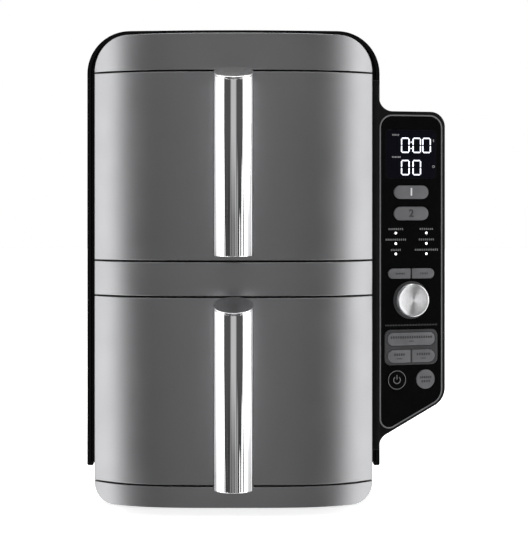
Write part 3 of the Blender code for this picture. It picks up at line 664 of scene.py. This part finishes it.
def rectangle(low, high):
    """The fascia's full width, from low to high."""
    corners = ((-FASCIA_HALF, low), (FASCIA_HALF, low), (FASCIA_HALF, high), (-FASCIA_HALF, high))
    return [Vector(corner) for corner in corners]


def drawer(side):
    """One drawer: its bowed face, the black liner behind it, the basket, crisper plate and handle."""
    body = side + "_drawer"
    low, high = span(side + "_drawer_skin")
    face = fascia(side + "_drawer_face", rectangle(low.z, high.z), SKIN_BACK)
    piece(side + "_drawer_face", face, GREY, body, [side + "_drawer_skin"])
    inner = pill(0, (low.z + high.z) / 2, 2 * FASCIA_HALF - 0.0036, high.z - low.z - 0.001, 0.002)
    mesh = flat(side + "_drawer_liner", [inner], SKIN_BACK - 0.002, FASCIA_BACK, 0.0006)
    piece(side + "_drawer_liner", mesh, BLACK, body, [side + "_drawer_back"])
    tub(side, body)
    grid(side)
    handle(side, body)


def tub(side, body):
    """A pressed basket with round corners and a rolled rim."""
    low, high = span(side + "_basket")
    shape = bmesh.new()
    bmesh.ops.create_cube(shape, size=1)
    bmesh.ops.scale(shape, vec=high - low, verts=shape.verts)
    middle = (low + high) / 2
    bmesh.ops.translate(shape, vec=middle, verts=shape.verts)
    bmesh.ops.delete(shape, geom=[f for f in shape.faces if f.normal.z > 0.5], context="FACES_ONLY")
    uprights = [e for e in shape.edges if abs(e.verts[0].co.z - e.verts[1].co.z) > 0.01]
    bmesh.ops.bevel(shape, geom=uprights, offset=TUB_CORNER, segments=10, affect="EDGES", profile=0.5)
    rim_z = high.z - 0.00001
    under = [e for e in shape.edges if all(v.co.z < low.z + 0.00001 for v in e.verts)]
    bmesh.ops.bevel(shape, geom=under, offset=TUB_FLOOR_EDGE, segments=5, affect="EDGES", profile=0.5)
    lip = [e for e in shape.edges if all(v.co.z > rim_z for v in e.verts)]
    turned = bmesh.ops.extrude_edge_only(shape, edges=lip)["geom"]
    for vert in (item for item in turned if isinstance(item, bmesh.types.BMVert)):
        vert.co.x -= math.copysign(TUB_LIP, vert.co.x - middle.x)
        vert.co.y -= math.copysign(TUB_LIP, vert.co.y - middle.y)
        vert.co.z -= 0.0004
    mesh = clean(shape, side + "_tub")
    obj = piece(side + "_tub", mesh, NON_STICK, body, [side + "_basket"], smooth=math.radians(50))
    wall = obj.modifiers.new("wall", "SOLIDIFY")
    wall.thickness = TUB_WALL
    wall.offset = -1


def grid(side):
    """The crisper plate, with rounded slots and four stubs that it stands on."""
    low, high = span(side + "_crisper_plate")
    front, rear, top = low.y, high.y, high.z
    corners = ((low.x, front), (high.x, front), (high.x, rear), (low.x, rear))
    outline = rounded([(a, b, GRID_CORNER) for a, b in corners])
    slot = pill(0, 0, SLOT_LENGTH, SLOT_WIDTH)
    slots = []
    for row in range(SLOT_ROWS):
        for column in range(-2, 3):
            x, y = column * SLOT_PITCH_X, front + FIRST_SLOT + row * SLOT_PITCH_Y
            slots.append([Vector((a + x, b + y)) for a, b in slot])
    parts = [flat(side + "_grid", [outline, *slots], top - GRID_THICK, top, 0.0007, "plan", 2)]
    for x in (low.x + STUB_INSET, high.x - STUB_INSET):
        for y in (front + STUB_INSET, rear - STUB_INSET):
            stub = lathe("stub", STUB_PROFILE, 24)
            stub.transform(Matrix.Translation((x, y, low.z)))
            parts.append(stub)
    plate = merged(side + "_grid", parts)
    piece(side + "_grid", plate, NON_STICK, side + "_crisper", [side + "_crisper_plate"])


def bar(name, low, high, low_slope, high_slope, low_edge, high_edge):
    """An upright round bar with sloping ends and rounded rims."""
    sides, rim_steps = 96, 4
    turns = [math.pi / 2 * step / rim_steps for step in range(rim_steps + 1)]
    rows = []
    for turn in turns:
        radius = HANDLE_RADIUS - low_edge * (1 - math.sin(turn))
        rows.append((radius, low + low_edge * (1 - math.cos(turn)), low_slope))
    for turn in turns:
        radius = HANDLE_RADIUS - high_edge * (1 - math.cos(turn))
        rows.append((radius, high - high_edge * (1 - math.sin(turn)), high_slope))
    shape = bmesh.new()
    rings = []
    for radius, height, slope in rows:
        ring = []
        for index in range(sides):
            angle = 2 * math.pi * index / sides
            x, y = radius * math.cos(angle), radius * math.sin(angle)
            ring.append(shape.verts.new((x, y, height + slope * y)))
        rings.append(ring)
    for lower, upper in zip(rings, rings[1:]):
        for index in range(sides):
            after = (index + 1) % sides
            shape.faces.new((lower[index], lower[after], upper[after], upper[index]))
    shape.faces.new(rings[0][::-1])
    shape.faces.new(rings[-1])
    return clean(shape, name)


def handle(side, body):
    """The drawn bar with its slanted cap, and the two arms that hold it off the drawer."""
    low, _ = span(side + "_handle")
    _, cap_high = span(side + "_handle_cap")
    place = Matrix.Translation(DATUM + Vector((0, -HANDLE_OUT, low.z)))
    middle = cap_high.z - CAP_SLOPE * HANDLE_RADIUS - low.z
    join = middle - CAP_THICK
    grip = bar(side + "_grip", 0, join - 0.0002, 0, CAP_SLOPE, 0.0008, 0.0004)
    piece(side + "_grip", grip, CHROME, body, [side + "_handle"], place=place)
    cap = bar(side + "_grip_cap", join, middle, CAP_SLOPE, CAP_SLOPE, 0.0002, 0.0006)
    piece(side + "_grip_cap", cap, SATIN, body, [side + "_handle_cap"], place=place)
    arms_low, arms_high = span(side + "_handle_bracket")
    seat = HANDLE_RADIUS - 0.0003
    spread = math.asin(ARM_HALF / seat)
    saddle = []
    for step in range(-8, 9):
        angle = spread * step / 8
        saddle.append(Vector((seat * math.sin(angle), seat * math.cos(angle) - HANDLE_OUT)))
    outline = [*saddle, Vector((ARM_HALF, 0.003)), Vector((-ARM_HALF, 0.003))]
    arms = []
    for z in (arms_low.z, arms_high.z - ARM_HEIGHT):
        arms.append(flat("arm", [outline], z, z + ARM_HEIGHT, 0.0006, "plan"))
    piece(side + "_grip_arms", merged(side + "_grip_arms", arms), SATIN, body, [side + "_handle_bracket"])


# Control pod

def pod_outline():
    """The pod from the front: a narrow root along the casing, and a slanted foot."""
    return rounded(
        [
            (POD_INNER, POD_FLOOR, 0.0008),
            (0.1173, POD_FLOOR, 0.0012),
            (0.1173, 0.0572, 0.010),
            (POD_OUTER, 0.0867, 0.016),
            (POD_OUTER, POD_TOP, 0.012),
            (0.1168, POD_TOP, 0.011),
            (0.1176, POD_ROOT_TOP, 0.0012),
            (POD_INNER, POD_ROOT_TOP, 0.0008),
        ],
        12,
    )


def panel_outline(grow=0.0):
    """The panel, whose foot is cut at a slant, grown outward all round."""
    half = PANEL_HALF + grow
    rise = PANEL_FOOT_RISE * half / PANEL_HALF
    low = PANEL_FOOT - grow * math.hypot(1, PANEL_FOOT_RISE / (2 * PANEL_HALF))
    top = PANEL_TOP + grow
    corner = 0.0107 + grow
    foot = [(-half, low - rise / 2, 0.008 + grow), (half, low + rise / 2, 0.0135 + grow)]
    return rounded([*foot, (half, top, corner), (-half, top, corner)], 12)


def pod_rear(x):
    """Depth of the pod's back: square to the casing at its root, sloping in to a narrow outer side."""
    share = max(0.0, (x - CASE_HALF) / (POD_OUTER - CASE_HALF))
    return 0.140 - 0.045 * share if x > CASE_HALF + 0.0002 else CASE_LOW.y - 0.0003


def on_panel(name, mesh, material, body, replaced=()):
    """A piece drawn in the panel's own axes: u across it, z up, depth into the pod."""
    return piece(name, mesh, material, body, replaced, place=PANEL)


def pod_shell():
    """The front bezel, cut out for the panel, and the hollow pod behind it."""
    bezel = block("pod_bezel", pod_outline(), pod_depth, lambda x: pod_depth(x) + 0.004, 0.0013, 0, 4)
    cut = flat("panel_cut", [panel_outline(-0.0004)], -0.01, 0.02)
    cut.transform(Matrix.Translation(-DATUM) @ PANEL)
    bezel = carve(bezel, cut)
    piece("pod_bezel", bezel, BLACK, "casing", ["pod_housing"])
    root = CASE_HALF + 0.0003
    outline = [point for point in pod_outline() if point.x > root + 0.0004]
    top = max(point.y for point in outline if point.x < root + 0.002)
    foot = min(point.y for point in outline if point.x < root + 0.002)
    outline = [Vector((root, foot)), *outline, Vector((root, top))]
    back = block("pod_body", outline, lambda x: pod_depth(x) + 0.0038, pod_rear, 0.0, 0.004, 5)
    inner, outer, ceiling = 0.1215, 0.1663, 0.3114
    cavity = rounded(
        [(inner, 0.069, 0.005), (outer, 0.0930, 0.011), (outer, ceiling, 0.008), (inner, ceiling, 0.008)]
    )
    hollow = block(
        "pod_hollow", cavity, lambda x: pod_depth(x) - 0.01, lambda x: pod_rear(x) - POD_WALL, 0.0
    )
    piece("pod_body", carve(back, hollow), BLACK, "casing")


def key(outward, reach, z, height, grow):
    """One of a pair of keys that meet at the panel's middle, on the side that outward points to."""
    return half_pill(outward * (0.0006 - grow), outward * (reach + grow), z, height + 2 * grow)


def pad_key(outward, grow):
    return key(outward, 0.0202, SHORT_KEY_Z, 0.0105, grow)


def zone_button(z, grow):
    return pill(0, z, ZONE_WIDTH + 2 * grow, ZONE_HEIGHT + 2 * grow)


BUTTONS = {
    "zone_1": lambda grow: zone_button(ZONE_1_Z, grow),
    "zone_2": lambda grow: zone_button(ZONE_2_Z, grow),
    "temp": lambda grow: key(-1, KEY_REACH, KEY_Z, KEY_HEIGHT, grow),
    "time": lambda grow: key(1, KEY_REACH, KEY_Z, KEY_HEIGHT, grow),
    "both_drawers": lambda grow: pill(0, LONG_KEY_Z, 0.0404 + 2 * grow, 0.0106 + 2 * grow, 0.0045),
    "sync": lambda grow: pad_key(-1, grow),
    "match": lambda grow: pad_key(1, grow),
    "power": lambda grow: circle(-ROUND_BUTTON_U, ROUND_BUTTON_Z, 0.0079 + grow),
    "start_stop": lambda grow: circle(ROUND_BUTTON_U, ROUND_BUTTON_Z, 0.0078 + grow),
}
ON_PAD = ("both_drawers", "sync", "match")


def strip(u, z, width, height, depth=INK, face=FACE):
    """A thin printed bar on the panel."""
    outline = pill(u, z, width, height, min(width, height) / 2.2, 3)
    return flat("print", [outline], face - depth, face + depth)


def word(u, z, width, height, depth=INK, face=FACE):
    """A row of short printed blocks, standing in for a word."""
    pitch = height * 0.95
    count = max(1, round(width / pitch))
    blocks = []
    for index in range(count):
        place = u + (index - (count - 1) / 2) * width / count
        blocks.append(strip(place, z, 0.62 * width / count, height, depth, face))
    return merged("word", blocks)


def ring(u, z, outer, inner, face=FACE):
    """A thin printed ring on the panel."""
    return flat("print", [circle(u, z, outer), circle(u, z, inner)], face - INK, face + INK)


def window_outline(gap=0.0):
    return pill(0, WINDOW_Z, WINDOW_WIDTH + 2 * gap, WINDOW_HEIGHT + 2 * gap, WINDOW_CORNER + gap)


def pad_outline(gap=0.0):
    return pill(0, PAD_Z, PAD_WIDTH + 2 * gap, PAD_HEIGHT + 2 * gap, PAD_CORNER + gap)


def panel():
    """The panel's face with its grey edge line, the window, the pad and the nine buttons."""
    holes = {name: outline(BUTTON_GAP) for name, outline in BUTTONS.items()}
    openings = [window_outline(SEAT_GAP), pad_outline(SEAT_GAP)]
    openings.append(circle(0, KNOB_Z, 0.0036))
    openings.extend(outline for name, outline in holes.items() if name not in ON_PAD)
    mesh = flat("panel_face", [panel_outline(), *openings], FACE, 0.0019, 0.00015)
    even(on_panel("panel_face", mesh, GLOSS, "casing", ["panel_plate"]))
    mesh = flat("panel_edge_line", [panel_outline(0.0001), panel_outline(-0.0010)], -0.00025, 0.001, 0.0001)
    on_panel("panel_edge_line", mesh, PRINT_GREY, "casing")
    mesh = flat("window_face", [window_outline()], FACE, 0.0019, 0.0001)
    on_panel("window_face", mesh, WINDOW, "casing", ["display_window"])
    mesh = flat("pad_face", [pad_outline(), *(holes[name] for name in ON_PAD)], -0.0004, 0.0019, 0.0002)
    on_panel("pad_face", mesh, PAD, "casing", ["button_pad"])
    for name, outline in BUTTONS.items():
        material = GLOSS if name == "power" else BUTTON
        mesh = flat(name + "_cap", [outline(0)], -PROUD, 0.0045, 0.0004)
        on_panel(name + "_cap", mesh, material, name, ["button_" + name])


def zero(u, z, width, height, thick):
    """The six bars of a seven-segment zero, each a pointed hexagon."""
    half_w, half_h, gap = width / 2, height / 2, thick * 0.18
    across = thick / 2
    places = (
        (0, half_h, True), (half_w, half_h / 2, False), (half_w, -half_h / 2, False),
        (0, -half_h, True), (-half_w, -half_h / 2, False), (-half_w, half_h / 2, False),
    )
    bars = []
    for du, dz, level in places:
        along = (half_w if level else half_h / 2) - thick / 2 - gap
        tip = along + across * 0.8
        outline = [
            (-tip, 0), (-along, -across), (along, -across), (tip, 0), (along, across), (-along, across),
        ]
        points = [Vector((a, b) if level else (-b, a)) + Vector((u + du, z + dz)) for a, b in outline]
        bars.append(flat("bar", [points], FACE - INK, FACE + INK))
    return bars


def display():
    """The lit digits in the window, with the dim marks beside them."""
    lit = []
    rows = ((0.2929, (-0.00495, 0.00490, 0.01335)), (0.2749, (-0.00495, 0.00490)))
    for z, places in rows:
        for u in places:
            lit += zero(u, z, 0.0064, 0.0114, 0.0010)
    for z in (0.2903, 0.2955):
        lit.append(strip(0, z, 0.0010, 0.0010))
    on_panel("display_digits", merged("display_digits", lit), LIT, "casing")
    dim = [word(-0.0133, 0.3012, 0.0062, 0.0014), word(-0.0127, 0.2834, 0.0078, 0.0014)]
    dim += [strip(0.0193, 0.2967, 0.0008, 0.0022), ring(0.0193, 0.2758, 0.0011, 0.0006)]
    on_panel("display_marks", merged("display_marks", dim), PRINT_PALE, "casing")


def numeral(text, u, z, size, material, body, face):
    """A plain numeral laid on a button's face."""
    curve = bpy.data.curves.new("numeral_" + text, "FONT")
    curve.body = text
    curve.size = size
    curve.align_x = "CENTER"
    curve.align_y = "CENTER"
    curve.extrude = 0.00006
    curve.offset = 0.0002
    obj = bpy.data.objects.new("numeral_" + text, curve)
    bpy.context.scene.collection.objects.link(obj)
    graph = bpy.context.evaluated_depsgraph_get()
    mesh = bpy.data.meshes.new_from_object(obj.evaluated_get(graph))
    bpy.data.objects.remove(obj)
    mesh.transform(Matrix.Translation((u, face, z)) @ FRONT_PLANE)
    on_panel("numeral_" + text, mesh, material, body)


def prints():
    """Everything printed on the panel and the buttons, and the mode lamps."""
    lamps = []
    labels = []
    rows = ((0.2221, 0.0130, 0.0120), (0.2136, 0.0180, 0.0135), (0.2053, 0.0090, 0.0205))
    for z, left_width, right_width in rows:
        for u, width in ((-0.0131, left_width), (0.0131, right_width)):
            lamps.append(flat("lamp", [circle(u, z, 0.0010, 20)], FACE - 0.0002, FACE + 0.0002, 0.0001))
            labels.append(word(u, z + 0.0032, width, 0.0017))
    on_panel("mode_lamps", merged("mode_lamps", lamps), LAMP, "casing")
    on_panel("panel_labels", merged("panel_labels", labels), PRINT_GREY, "casing")
    on_panel("panel_line", word(0.0002, KNOB_Z - 0.0202, 0.0450, 0.0014), PRINT_DIM, "casing")
    face = -PROUD - 0.00002
    numeral("1", 0, ZONE_1_Z, 0.0085, PRINT_WHITE, "zone_1", face)
    numeral("2", 0, ZONE_2_Z, 0.0085, PRINT_DARK, "zone_2", face)
    marks = {
        "temp": [(-0.0096, KEY_Z, 0.0082, 0.0015)],
        "time": [(0.0108, KEY_Z, 0.0070, 0.0015)],
        "both_drawers": [(0, PAD_Z + 0.0080, 0.0360, 0.0021), (0, PAD_Z + 0.0048, 0.0040, 0.0009)],
        "sync": [(-0.0102, PAD_Z - 0.0058, 0.0095, 0.0021), (-0.0102, PAD_Z - 0.0092, 0.0046, 0.0009)],
        "match": [(0.0102, PAD_Z - 0.0058, 0.0120, 0.0021), (0.0102, PAD_Z - 0.0092, 0.0046, 0.0009)],
        "start_stop": [
            (ROUND_BUTTON_U, ROUND_BUTTON_Z + 0.0016, 0.0105, 0.0019),
            (ROUND_BUTTON_U, ROUND_BUTTON_Z - 0.0016, 0.0080, 0.0019),
        ],
    }
    for name, words in marks.items():
        mesh = merged(name + "_marks", [word(*place, depth=THIN_INK, face=face) for place in words])
        on_panel(name + "_marks", mesh, PRINT_DARK, name)
    power_mark(face)


def power_mark(face):
    """The standard power mark, a broken ring with an upright bar, in a thin round border."""
    u, z = -ROUND_BUTTON_U, ROUND_BUTTON_Z
    steps = 32
    start, sweep = math.radians(90 + 38), math.radians(284)
    arc = []
    for radius, order in ((0.0032, range(steps + 1)), (0.0025, range(steps, -1, -1))):
        for step in order:
            angle = start + sweep * step / steps
            arc.append(Vector((u + radius * math.cos(angle), z + radius * math.sin(angle))))
    symbol = [
        flat("power_arc", [arc], face - THIN_INK, face + THIN_INK),
        strip(u, z + 0.0022, 0.0007, 0.0036, THIN_INK, face),
        ring(u, z, 0.0076, 0.0071, face),
    ]
    on_panel("power_symbol", merged("power_symbol", symbol), PRINT_GREY, "power")


def selector():
    """The knob: a spun face with a bright chamfered rim, over a dark collar."""
    low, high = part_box("knob")
    radius = (high.z - low.z) / 2
    top = 0.0065
    dished_face = [
        (0, top - 0.00052), (0.005, top - 0.00050), (0.0100, top - 0.00042), (0.0120, top - 0.0001),
    ]
    rim = [(0.0124, top), (0.0128, top - 0.0002), (radius, top - 0.0008), (radius, 0.0022)]
    under = [(radius - 0.0003, 0.0016), (0.0112, 0.0014)]
    stem = [(0.0030, 0.0014), (0.0030, -0.0100), (0, -0.0100)]
    profile = [*dished_face, *rim, *under, *stem]
    place = PANEL @ Matrix.Translation((0, 0, KNOB_Z)) @ FRONT_PLANE
    piece("selector", lathe("selector", profile, 96), SPUN, "knob", ["knob"], place=place)
    collar = [
        (0.0040, 0.0010), (0.0142, 0.0010), (0.0151, 0.0006),
        (0.0153, -0.0002), (0.0153, -0.0004), (0.0040, -0.0004),
    ]
    piece("selector_collar", lathe("selector_collar", collar, 64), PAD, "casing", place=place)


# Studio

def studio():
    """A pale floor, and soft light that is bright at the sides and dim in front and above."""
    scene = bpy.context.scene
    scene.view_settings.view_transform = "Standard"
    scene.view_settings.look = "None"
    floor_mesh = flat("floor", [circle(0, 0, 6, 96)], -0.02, 0, plane="plan")
    floor = bpy.data.objects.new("floor", floor_mesh)
    scene.collection.objects.link(floor)
    pale = Finish("floor", (0.9, 0.9, 0.9), 0.9, name="pale_floor")
    pale.tint(pale.noise(3, 2), 0.99, 1.0)
    pale.shader.inputs["Emission Color"].default_value = (1, 1, 1, 1)
    pale.shader.inputs["Emission Strength"].default_value = 0.7
    floor_mesh.materials.append(pale.material)
    floor.visible_glossy = False
    world = bpy.data.worlds.new("studio")
    scene.world = world
    world.use_nodes = True
    nodes, links = world.node_tree.nodes, world.node_tree.links
    nodes.clear()
    place = nodes.new("ShaderNodeTexCoord")
    split = nodes.new("ShaderNodeSeparateXYZ")
    links.new(place.outputs["Generated"], split.inputs[0])

    def maths(operation, *values):
        node = nodes.new("ShaderNodeMath")
        node.operation = operation
        for socket, value in zip(node.inputs, values):
            if isinstance(value, (int, float)):
                socket.default_value = value
            else:
                links.new(value, socket)
        return node.outputs[0]

    def ramp(source, stops):
        node = nodes.new("ShaderNodeValToRGB")
        while len(node.color_ramp.elements) < len(stops):
            node.color_ramp.elements.new(0.5)
        for element, (position, value) in zip(node.color_ramp.elements, stops):
            element.position = position
            element.color = (value, value, value, 1)
        links.new(source, node.inputs["Fac"])
        return node.outputs["Color"]

    x, y, z = split.outputs
    level = maths("SQRT", maths("ADD", maths("MULTIPLY", x, x), maths("MULTIPLY", y, y)))
    toward = maths("DIVIDE", maths("MULTIPLY", y, -1.0), maths("MAXIMUM", level, 0.001))
    share = maths("MULTIPLY_ADD", toward, 0.5, 0.5)  # 0 behind the appliance, 1 in front of it
    sides = [
        (0.0, 0.2), (0.3, 0.25), (0.5, 0.70), (0.655, 1.0), (0.72, 1.0),
        (0.765, 0.80), (0.80, 0.018), (0.976, 0.018), (0.990, 0.115),
    ]
    around = ramp(share, sides)
    height = ramp(maths("MULTIPLY_ADD", z, 0.5, 0.5), [(0.80, 0.0), (0.84, 1.0)])
    mix = nodes.new("ShaderNodeMix")
    mix.data_type = "RGBA"
    links.new(height, mix.inputs["Factor"])
    links.new(around, mix.inputs["A"])
    mix.inputs["B"].default_value = (0.03, 0.03, 0.03, 1)
    soft = nodes.new("ShaderNodeBackground")
    soft.inputs["Strength"].default_value = 4.6
    links.new(mix.outputs["Result"], soft.inputs["Color"])
    plain = nodes.new("ShaderNodeBackground")
    plain.inputs["Color"].default_value = (1, 1, 1, 1)
    plain.inputs["Strength"].default_value = 1.0
    path = nodes.new("ShaderNodeLightPath")
    pick = nodes.new("ShaderNodeMixShader")
    links.new(path.outputs["Is Camera Ray"], pick.inputs["Fac"])
    links.new(soft.outputs[0], pick.inputs[1])
    links.new(plain.outputs[0], pick.inputs[2])
    output = nodes.new("ShaderNodeOutputWorld")
    links.new(pick.outputs[0], output.inputs["Surface"])

    lamp = bpy.data.lights.new("overhead", "AREA")
    lamp.shape = "RECTANGLE"
    lamp.size = 1.6
    lamp.size_y = 1.2
    lamp.energy = 30
    over = bpy.data.objects.new("overhead", lamp)
    over.location = (0, -0.1, 1.9)
    scene.collection.objects.link(over)


def camera():
    """The eye stands level, 1.15 m in front of the casing, and the lens shift frames the appliance."""
    scene = bpy.context.scene
    lens = bpy.data.cameras.new("camera")
    eye = bpy.data.objects.new("camera", lens)
    scene.collection.objects.link(eye)
    distance = 1.150
    eye_z = 0.25
    view_height = 0.4259
    middle = Vector((0.0239, 0.1924))
    eye.location = DATUM + Vector((0, -distance, eye_z))
    eye.rotation_euler = (math.radians(90), 0, 0)
    lens.sensor_width = 36
    lens.lens = lens.sensor_width * distance / view_height
    lens.shift_x = middle.x / view_height
    lens.shift_y = (middle.y - eye_z) / view_height
    lens.clip_start = 0.05
    scene.camera = eye


finish_nodes()
casing()
trims()
for side in SIDES:
    drawer(side)
pod_shell()
panel()
display()
prints()
selector()
studio()
camera()
